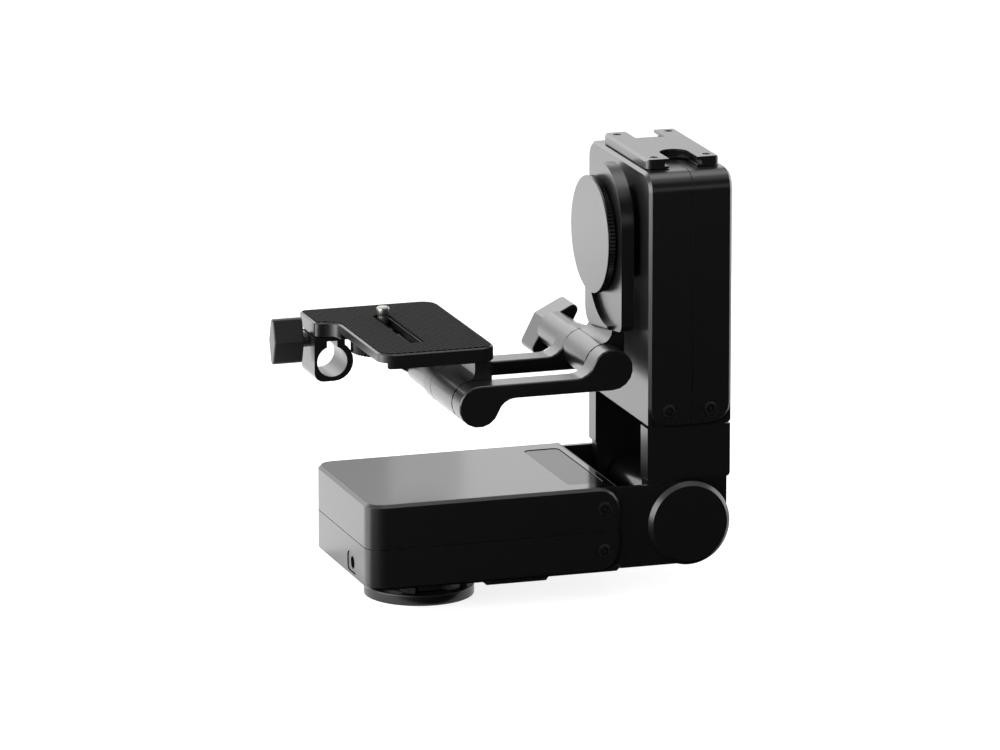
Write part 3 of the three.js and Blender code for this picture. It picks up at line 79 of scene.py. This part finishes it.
def node(tree, kind, settings=None, **links):
    """A node with its settings and its inputs, by name or as _number.

    A socket given as an input is linked, and anything else is set.
    """
    made = tree.nodes.new(kind)
    for key, value in (settings or {}).items():
        setattr(made, key, value)
    for name, value in links.items():
        key = int(name[1:]) if name[0] == "_" else name.replace("_", " ")
        socket = made.inputs[key]
        if isinstance(value, bpy.types.NodeSocket):
            tree.links.new(value, socket)
        else:
            socket.default_value = value
    return made


def main_shader(material):
    return material.node_tree.nodes["Principled BSDF"]


def finish(name, colour, metallic, roughness, ior=1.5):
    """A new material, with its main shader set."""
    material = bpy.data.materials.new(name)
    material.use_nodes = True
    shader = main_shader(material)
    shader.inputs["Base Color"].default_value = linear(colour)
    shader.inputs["Metallic"].default_value = metallic
    shader.inputs["Roughness"].default_value = roughness
    shader.inputs["IOR"].default_value = ior
    return material


def bead_blast(material, grain_mm, strength):
    """A fine even grain, as bead blasting leaves under an anodised skin."""
    tree = material.node_tree
    place = node(tree, "ShaderNodeTexCoord")
    grain = node(
        tree,
        "ShaderNodeTexNoise",
        Vector=place.outputs["Object"],
        Scale=1 / (grain_mm * MM),
        Detail=2.0,
    )
    bump = node(
        tree,
        "ShaderNodeBump",
        Height=grain.outputs["Fac"],
        Strength=strength,
        Distance=0.02 * MM,
    )
    tree.links.new(bump.outputs["Normal"], main_shader(material).inputs["Normal"])


# Black anodised aluminium, milled and finely blasted: the dyed oxide skin is near black face on,
# and pale where it mirrors a lamp
anodised = finish("black_anodised_aluminium", "#0b0b0c", 0.0, 0.3)
bead_blast(anodised, 0.6, 0.12)

# Black anodised aluminium, fine turned: the hinge barrel, smoother than the blasted pieces
barrel_black = finish("turned_black_anodised", "#0b0b0c", 0.0, 0.14)

# Black oxide on steel: a little rougher than the anodised skin
oxide = finish("black_oxide_steel", "#0c0c0c", 0.0, 0.38)

# Polished black acrylic sheet: a dark mirror. Its index is under real acrylic's 1.49, to match
# the tone of the panel
acrylic = finish("polished_black_acrylic", "#0a0a0b", 0.0, 0.12, 1.38)

# Smoked acrylic window: the same sheet with a duller shine, so its index is lower still
window = finish("smoked_acrylic", "#111214", 0.0, 0.14, 1.22)

# Moulded black nylon: an even half shine
nylon = finish("moulded_black_nylon", "#0b0b0b", 0.0, 0.32)

# Bright nickel-plated steel: a soft grey shine
nickel = finish("bright_nickel_plate", "#82817e", 1.0, 0.34)

# Dark turned steel: a grey sheen
steel = finish("dark_turned_steel", "#4c4d50", 1.0, 0.35)

# Machined brass: warm and yellow
brass = finish("machined_brass", "#c09a4e", 1.0, 0.3)

# Glass-fibre circuit board with a green mask: half gloss
board = finish("green_solder_mask", "#174029", 0.0, 0.45, 1.55)

# Neoprene pad pressed with a diamond grid: dull and nearly without shine. The real grid is
# about 1 mm, and is drawn at 2.3 mm so that it shows
pad_pitch = 2.3 * MM
rubber = finish("cross_hatched_neoprene", "#202020", 0.0, 0.8)
rubber_tree = rubber.node_tree
rubber_shader = main_shader(rubber)
rubber_shader.inputs["Specular IOR Level"].default_value = 0.05
pad_place = node(rubber_tree, "ShaderNodeTexCoord")
pad_waves = []
for turn in (45, -45):
    turned = node(
        rubber_tree,
        "ShaderNodeMapping",
        Vector=pad_place.outputs["Object"],
        Rotation=(0, 0, radians(turn)),
    )
    pad_waves.append(
        node(
            rubber_tree,
            "ShaderNodeTexWave",
            {"bands_direction": "X"},
            Vector=turned.outputs["Vector"],
            Scale=2 * pi / (20 * pad_pitch),
        )
    )
pad_grid = node(
    rubber_tree,
    "ShaderNodeMath",
    {"operation": "MULTIPLY"},
    _0=pad_waves[0].outputs["Fac"],
    _1=pad_waves[1].outputs["Fac"],
)
pad_bump = node(
    rubber_tree,
    "ShaderNodeBump",
    Height=pad_grid.outputs["Value"],
    Strength=0.9,
    Distance=0.25 * MM,
)
rubber_tree.links.new(pad_bump.outputs["Normal"], rubber_shader.inputs["Normal"])
# Painted shade: the grid's grooves are coloured darker than its ridges, as shade would fall in them
pad_groove_shade = node(
    rubber_tree,
    "ShaderNodeMix",
    {"data_type": "RGBA"},
    _0=pad_grid.outputs["Value"],
    _6=linear("#050505"),
    _7=linear("#303030"),
)
rubber_tree.links.new(pad_groove_shade.outputs[2], rubber_shader.inputs["Base Color"])

slot_finishes = {
    "satin_black": anodised,
    "matte_black": oxide,
    "gloss_black": acrylic,
    "smoked_window": window,
    "black_plastic": nylon,
    "rubber_pad": rubber,
    "bright_steel": nickel,
    "dark_steel": steel,
    "gear_brass": brass,
    "board_green": board,
}
node_slots = {part["node"]: part["material_slot"] for part in frame["record"]["subparts"]}
node_bodies = {
    name: body for body, names in frame["record"]["behaviour"]["bodies"].items() for name in names
}
for cad_name, cad_object in frame["nodes"].items():
    for material_slot in cad_object.material_slots:
        material_slot.material = slot_finishes[node_slots[cad_name]]


# Ways of working


sharp_angle = 28
merge_gap = 0.002 * MM


def only(*objects):
    """Selects these objects and nothing else."""
    bpy.ops.object.select_all(action="DESELECT")
    for each in objects:
        each.select_set(True)
    bpy.context.view_layer.objects.active = objects[0]


def edit(obj, kind="FACE"):
    """Opens the mesh for editing, with nothing selected."""
    only(obj)
    bpy.ops.object.mode_set(mode="EDIT")
    bpy.ops.mesh.select_mode(type=kind)
    bpy.ops.mesh.select_all(action="DESELECT")


def done():
    bpy.ops.object.mode_set(mode="OBJECT")


def pick(obj, kind, test):
    """Selects the faces or edges of the mesh being edited that pass a test."""
    mesh = bmesh.from_edit_mesh(obj.data)
    for each in mesh.faces if kind == "FACE" else mesh.edges:
        each.select_set(bool(test(each)))
    mesh.select_flush_mode()
    bmesh.update_edit_mesh(obj.data)


def apply(obj, kind, **settings):
    """Adds a modifier with its settings and applies it."""
    only(obj)
    modifier = obj.modifiers.new(kind.lower(), kind)
    for key, value in settings.items():
        setattr(modifier, key, value)
    bpy.ops.object.modifier_apply(modifier=modifier.name)


def smooth(obj, angle=30):
    """Smooths the shading, with edges past an angle in degrees kept sharp."""
    only(obj)
    bpy.ops.object.shade_smooth_by_angle(angle=radians(angle))


def soften(obj, width):
    """Breaks the sharp edges, as deburring does, and keeps flat faces flat."""
    apply(
        obj,
        "BEVEL",
        width=width * MM,
        segments=2,
        limit_method="ANGLE",
        angle_limit=radians(sharp_angle),
        miter_outer="MITER_ARC",
    )
    smooth(obj, 40)
    apply(obj, "WEIGHTED_NORMAL", keep_sharp=True, weight=80)


def finished(obj, name, cad_names, material=None):
    """Names a piece, gives it its finish, and sets it on the body of the nodes it stands for."""
    obj.name = name
    obj.data.name = name
    slot_name = node_slots[cad_names[0]]
    obj.data.materials.clear()
    obj.data.materials.append(material or slot_finishes[slot_name])
    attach(obj, node_bodies[cad_names[0]])
    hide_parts(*cad_names)


def deburred(cad_name, width, material=None):
    """A merged copy of a CAD node with broken edges, which stands for it."""
    obj = frame["nodes"][cad_name].copy()
    obj.data = obj.data.copy()
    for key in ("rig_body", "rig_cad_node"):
        del obj[key]
    obj.parent = None
    bpy.context.scene.collection.objects.link(obj)
    edit(obj)
    bpy.ops.mesh.select_all(action="SELECT")
    bpy.ops.mesh.remove_doubles(threshold=merge_gap)
    bpy.ops.mesh.dissolve_limited(angle_limit=radians(0.5))
    done()
    soften(obj, width)
    finished(obj, cad_name + "_finished", [cad_name], material)


turns = {"x": (0, pi / 2, 0), "y": (pi / 2, 0, 0), "z": (0, 0, 0)}
ways = {"x": Vector((1, 0, 0)), "y": Vector((0, 1, 0)), "z": Vector((0, 0, 1))}


def bar(axis, radius, low, high, at, sides=96):
    """A round bar along an axis between two places on it, in mm."""
    way = ways[axis]
    middle = Vector(at) - way * Vector(at).dot(way) + way * (low + high) / 2
    bpy.ops.object.select_all(action="DESELECT")
    bpy.ops.mesh.primitive_cylinder_add(
        vertices=sides,
        radius=radius * MM,
        depth=(high - low) * MM,
        location=middle * MM,
        rotation=turns[axis],
    )
    obj = bpy.context.object
    bpy.ops.object.transform_apply(location=True, rotation=True, scale=True)
    return obj


def chamfer_end(obj, axis, place, width, segments=1):
    """Bevels the edge round the end of a bar, at a place along its axis in mm."""
    way = ways[axis]

    def at_place(vertex):
        return abs(vertex.co.dot(way) - place * MM) < 0.001 * MM

    edit(obj, "EDGE")
    pick(obj, "EDGE", lambda e: at_place(e.verts[0]) and at_place(e.verts[1]))
    bpy.ops.mesh.bevel(offset=width * MM, segments=segments, affect="EDGES")
    done()


def rib_rim(obj, axis, at, depth_share):
    """Draws every second side edge of a bar in towards its axis, which leaves ribs."""
    way = ways[axis]
    centre = Vector(at) * MM
    side_axes = [v for k, v in ways.items() if k != axis]
    edit(obj, "EDGE")
    mesh = bmesh.from_edit_mesh(obj.data)

    def lengthwise(e):
        return abs((e.verts[1].co - e.verts[0].co).normalized().dot(way)) > 0.99

    def around(e):
        spot = (e.verts[0].co + e.verts[1].co) / 2 - centre
        return atan2(spot.dot(side_axes[1]), spot.dot(side_axes[0]))

    for e in sorted(filter(lengthwise, mesh.edges), key=around)[::2]:
        e.select_set(True)
    bmesh.update_edit_mesh(obj.data)
    share = 1 - depth_share
    bpy.ops.transform.resize(
        value=[1 if k == axis else share for k in ("x", "y", "z")],
        center_override=centre,
    )
    done()


def join(first, *others):
    """Makes one piece of several, and gives it back."""
    only(first, *others)
    bpy.ops.object.join()
    return first


def box_mm(name):
    """The low and high corner of a CAD node, in mm."""
    low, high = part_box(name)
    return low / MM, high / MM


def cut_out(obj, tool):
    """Takes one piece out of another, and removes it."""
    apply(obj, "BOOLEAN", operation="DIFFERENCE", object=tool, solver="EXACT")
    bpy.data.objects.remove(tool)


# Pieces made of several bars sink this far into each other, in mm, and ribs keep their edges sharp
overlap = 0.1
rib_angle = 12

# Tilt lock knob: a flat face, a ribbed rim, a plain hub and a stud

knob_sides = 192
face_depth = 0.9
face_chamfer = 0.35
rim_inset = 0.1
rim_depth = 3.6
rib_share = 0.026
hub_inset = 3
hub_depth = 4.7
stud_radius = 4
knob_low, knob_high = box_mm("tilt_lock_knob")
knob_radius = (knob_high.z - knob_low.z) / 2
knob_face = knob_low.x
face_end = knob_face + face_depth
rim_end = knob_face + rim_depth
hub_end = knob_face + hub_depth
tilt_at = (knob_face, 0, (knob_low.z + knob_high.z) / 2)
knob = bar("x", knob_radius, knob_face, face_end, tilt_at, knob_sides)
chamfer_end(knob, "x", knob_face, face_chamfer, 2)
rim = bar("x", knob_radius - rim_inset, face_end - overlap, rim_end, tilt_at, knob_sides)
rib_rim(rim, "x", tilt_at, rib_share)
hub = bar("x", knob_radius - hub_inset, rim_end - overlap, hub_end, tilt_at, 96)
stud = bar("x", stud_radius, hub_end - overlap, knob_high.x, tilt_at, 48)
smooth(knob, 40)
for part in (rim, hub, stud):
    smooth(part, rib_angle)
knob = join(knob, rim, hub, stud)
apply(knob, "WEIGHTED_NORMAL", keep_sharp=True, weight=80)
finished(knob, "tilt_lock_knob_finished", ["tilt_lock_knob"])

# Hinge caps: thick round covers with a wide chamfer

cap_chamfer = 2.0
cap_edge = 0.22
for cap_name in ("front_hinge_cap", "rear_hinge_cap"):
    cap_low, cap_high = box_mm(cap_name)
    cap_at = (cap_low + cap_high) / 2
    cap = bar("y", (cap_high.x - cap_low.x) / 2, cap_low.y, cap_high.y, cap_at, 128)
    chamfer_end(cap, "y", cap_low.y if cap_at.y < 0 else cap_high.y, cap_chamfer)
    soften(cap, cap_edge)
    finished(cap, cap_name + "_finished", [cap_name])

# Mounting disc, with its stud hole

stud_hole_radius = 4.4
disc_edge = 0.5
disc_low, disc_high = box_mm("pan_mount_disc")
disc = bar("z", disc_high.x, disc_low.z, disc_high.z, (0, 0, 0), 128)
stud_hole = bar("z", stud_hole_radius, disc_low.z - 1, disc_high.z + 1, (0, 0, 0), 48)
cut_out(disc, stud_hole)
soften(disc, disc_edge)
finished(disc, "pan_mount_disc_finished", ["pan_mount_disc"])

# Output flanges, with their spindles

for shaft_name in ("pan_output_shaft", "tilt_output_shaft"):
    deburred(shaft_name, 0.25)

# Socket screws: a rim, a flat face and a hexagonal socket

head_depth = 1.2
head_chamfer = 0.3
shank_share = 0.42


def socket_screw(cad_name, axis, head_radius, socket_reach, socket_depth, outer_is_high):
    """Models a screw along an axis in the box of its CAD node, head on the high or the low side."""
    low, high = box_mm(cad_name)
    at = (low + high) / 2
    ends = (low.dot(ways[axis]), high.dot(ways[axis]))
    inner, outer = ends if outer_is_high else reversed(ends)
    out = 1 if outer_is_high else -1
    head_inner = outer - out * head_depth
    head = bar(axis, head_radius, *sorted((head_inner, outer)), at, 48)
    chamfer_end(head, axis, outer, head_chamfer, 2)
    socket_floor = outer - out * socket_depth
    cut_out(head, bar(axis, socket_reach, *sorted((socket_floor, outer + out)), at, 6))
    shank_end = head_inner + out * overlap
    shank = bar(axis, head_radius * shank_share, *sorted((inner, shank_end)), at, 24)
    smooth(head)
    smooth(shank)
    finished(join(head, shank), cad_name + "_finished", [cad_name])


for cad_name in sorted(node_slots):
    if "_screw_front_" in cad_name or "_screw_rear_" in cad_name:
        if cad_name.startswith("top_plate"):
            socket_screw(cad_name, "z", 1.75, 0.6, 0.5, True)
        else:
            socket_screw(cad_name, "y", 3.6, 2.2, 1.7, "_rear_" in cad_name)

# Thumbwheel under the camera plate: a ribbed rim and a plain hub

wheel_depth = 5.8
wheel_rib_share = 0.06
wheel_hub_radius = 6
wheel_low, wheel_high = box_mm("screw_thumbwheel")
wheel_at = (wheel_low + wheel_high) / 2
wheel_top = wheel_low.z + wheel_depth
wheel = bar("z", (wheel_high.x - wheel_low.x) / 2, wheel_low.z, wheel_top, wheel_at, 96)
rib_rim(wheel, "z", wheel_at, wheel_rib_share)
wheel_hub = bar("z", wheel_hub_radius, wheel_top - overlap, wheel_high.z, wheel_at, 48)
smooth(wheel, rib_angle)
smooth(wheel_hub)
finished(join(wheel, wheel_hub), "screw_thumbwheel_finished", ["screw_thumbwheel"])

# Camera screw: a rounded tip on a narrower neck

thread_depth = 4.4
tip_round = 1.1
thread_chamfer = 0.4
neck_inset = 0.5
screw_low, screw_high = box_mm("camera_screw")
screw_at = (screw_low + screw_high) / 2
screw_radius = (screw_high.x - screw_low.x) / 2
thread_low = screw_high.z - thread_depth
thread = bar("z", screw_radius, thread_low, screw_high.z, screw_at, 64)
chamfer_end(thread, "z", screw_high.z, tip_round, 5)
chamfer_end(thread, "z", thread_low, thread_chamfer, 2)
neck = bar("z", screw_radius - neck_inset, screw_low.z, thread_low + overlap, screw_at, 32)
smooth(thread)
smooth(neck)
finished(join(thread, neck), "camera_screw_finished", ["camera_screw"])

# Machined and moulded pieces that keep their CAD form, with broken edges, in mm

for cad_name, edge_width in {
    "base_lower_shell": 0.18,
    "base_upper_shell": 0.18,
    "tower_inner_shell": 0.18,
    "tower_outer_shell": 0.18,
    "base_hinge_frame": 0.2,
    "tower_hinge_block": 0.2,
    "tilt_arm": 0.25,
    "front_link": 0.25,
    "rear_link": 0.25,
    "plate_bracket": 0.25,
    "camera_plate": 0.14,
    "grip_pad": 0.14,
    "rod_clamp": 0.3,
    "rod_clamp_knob": 0.35,
    "right_paddle_knob": 0.35,
    "left_paddle_knob": 0.35,
    "top_plate": 0.2,
    "base_top_panel": 0.12,
    "status_window": 0.12,
    "underside_cover": 0.25,
    "power_port": 0.2,
    "slot_slider": 0.2,
    "pan_clamp_hub": 0.2,
}.items():
    deburred(cad_name, edge_width)
deburred("hinge_barrel", 0.3, barrel_black)


# Studio: a pale floor, a white surround and soft lamps

bpy.ops.object.select_all(action="DESELECT")
bpy.ops.mesh.primitive_plane_add(size=30, location=(0, 0, 0))
floor = bpy.context.object
floor.name = "floor"
floor_paint = finish("pale_studio_floor", "#a8a8a8", 0.0, 1.0)
floor_tree = floor_paint.node_tree
floor_light = node(floor_tree, "ShaderNodeLightPath")
floor_seen = node(
    floor_tree,
    "ShaderNodeMath",
    {"operation": "MAXIMUM"},
    _0=floor_light.outputs["Is Camera Ray"],
    _1=floor_light.outputs["Is Glossy Ray"],
)
floor_glow = node(
    floor_tree,
    "ShaderNodeEmission",
    Color=(0.82, 0.82, 0.82, 1),
    Strength=floor_seen.outputs["Value"],
)
floor_mix = node(
    floor_tree,
    "ShaderNodeAddShader",
    _0=main_shader(floor_paint).outputs["BSDF"],
    _1=floor_glow.outputs["Emission"],
)
floor_out = floor_tree.nodes["Material Output"]
floor_tree.links.new(floor_mix.outputs["Shader"], floor_out.inputs["Surface"])
floor.data.materials.append(floor_paint)

world = bpy.data.worlds.new("studio")
bpy.context.scene.world = world
world.use_nodes = True
sky = world.node_tree
sky.nodes.clear()
rays = node(sky, "ShaderNodeLightPath")
seen = node(
    sky,
    "ShaderNodeMath",
    {"operation": "MAXIMUM"},
    _0=rays.outputs["Is Camera Ray"],
    _1=rays.outputs["Is Glossy Ray"],
)
seen_through = node(
    sky,
    "ShaderNodeMath",
    {"operation": "MAXIMUM"},
    _0=seen.outputs["Value"],
    _1=rays.outputs["Is Transmission Ray"],
)
soft_fill = node(sky, "ShaderNodeBackground", Color=(1, 1, 1, 1), Strength=0.5)
white = node(sky, "ShaderNodeBackground", Color=(1, 1, 1, 1), Strength=1.0)
blend = node(
    sky,
    "ShaderNodeMixShader",
    _0=seen_through.outputs["Value"],
    _1=soft_fill.outputs["Background"],
    _2=white.outputs["Background"],
)
node(sky, "ShaderNodeOutputWorld", Surface=blend.outputs["Shader"])


def softbox(name, place, target, wide, tall, radiance):
    """A flat lamp at a place in metres, aimed at a target, with the same brightness at any size."""
    lamp = bpy.data.lights.new(name, "AREA")
    lamp.shape = "RECTANGLE"
    lamp.size = wide
    lamp.size_y = tall
    lamp.energy = radiance * wide * tall * pi
    holder = bpy.data.objects.new(name, lamp)
    bpy.context.scene.collection.objects.link(holder)
    holder.location = place
    aim = Vector(target) - Vector(place)
    holder.rotation_euler = aim.to_track_quat("-Z", "Y").to_euler()
    holder.visible_camera = False


# The left softbox is well above a plain level, and gives the left sides their pale sheen
softbox("overhead_softbox", (0.3, 0.1, 1.4), (0.06, 0, 0.11), 0.8, 0.8, 2.5)
softbox("right_back_softbox", (0.82, 0.62, 0.32), (0.82, 0.0, 0.32), 1.2, 0.62, 0.45)
softbox("wide_back_softbox", (0.81, 0.63, 0.32), (0.81, 0.0, 0.32), 1.26, 0.62, 0.4)
softbox("right_softbox", (0.8, 0.1, 0.26), (0.1, 0.1, 0.26), 0.6, 0.5, 2.5)
softbox("high_back_softbox", (-0.4, 0.62, 0.51), (-0.4, 0.0, 0.51), 1.2, 0.44, 2.8)
softbox("low_back_softbox", (-0.45, 0.62, 0.14), (-0.45, 0.0, 0.14), 1.1, 0.26, 1.0)
softbox("left_softbox", (-0.55, -0.25, 0.27), (0.0, -0.25, 0.27), 0.9, 0.54, 7.0)
softbox("floor_softbox", (-0.45, 0.53, 0.004), (-0.45, 0.54, 1.0), 1.0, 0.95, 0.95)
softbox("near_floor_softbox", (-0.33, 0.005, 0.004), (-0.33, 0.006, 1.0), 0.54, 0.1, 1.1)

# Black cards before the object, seen in reflections alone, keep its front faces black

card_paint = finish("black_card", "#030303", 0.0, 1.0)
main_shader(card_paint).inputs["Specular IOR Level"].default_value = 0.0
for card_name, card_place, card_tilt, card_size in (
    ("low_front_card", (0.25, -0.69, 0.1295), -11, (1.5, 1.35, 1)),
    ("tall_front_card", (0.25, -1.36, 1.3), -90, (1.9, 1.4, 1)),
):
    bpy.ops.mesh.primitive_plane_add(size=1, location=card_place)
    card = bpy.context.object
    card.name = card_name
    card.scale = card_size
    card.rotation_euler = (radians(card_tilt), 0, 0)
    card.data.materials.append(card_paint)
    card.visible_camera = False
    card.visible_diffuse = False
    card.visible_shadow = False
    card.visible_transmission = False

# Camera: the photograph's own place and lens

camera_pitch = 13.787
camera_turn = 17.965
camera_data = bpy.data.cameras.new("camera")
camera_data.sensor_width = 36
camera_data.lens = 298.1
camera_data.clip_start = 0.1
camera_data.clip_end = 50
camera = bpy.data.objects.new("camera", camera_data)
bpy.context.scene.collection.objects.link(camera)
camera.location = (-1.154, -3.686, 1.0556)
camera.rotation_euler = (radians(90 - camera_pitch), 0, radians(-camera_turn))
bpy.context.scene.camera = camera
bpy.context.scene.view_settings.view_transform = "Standard"
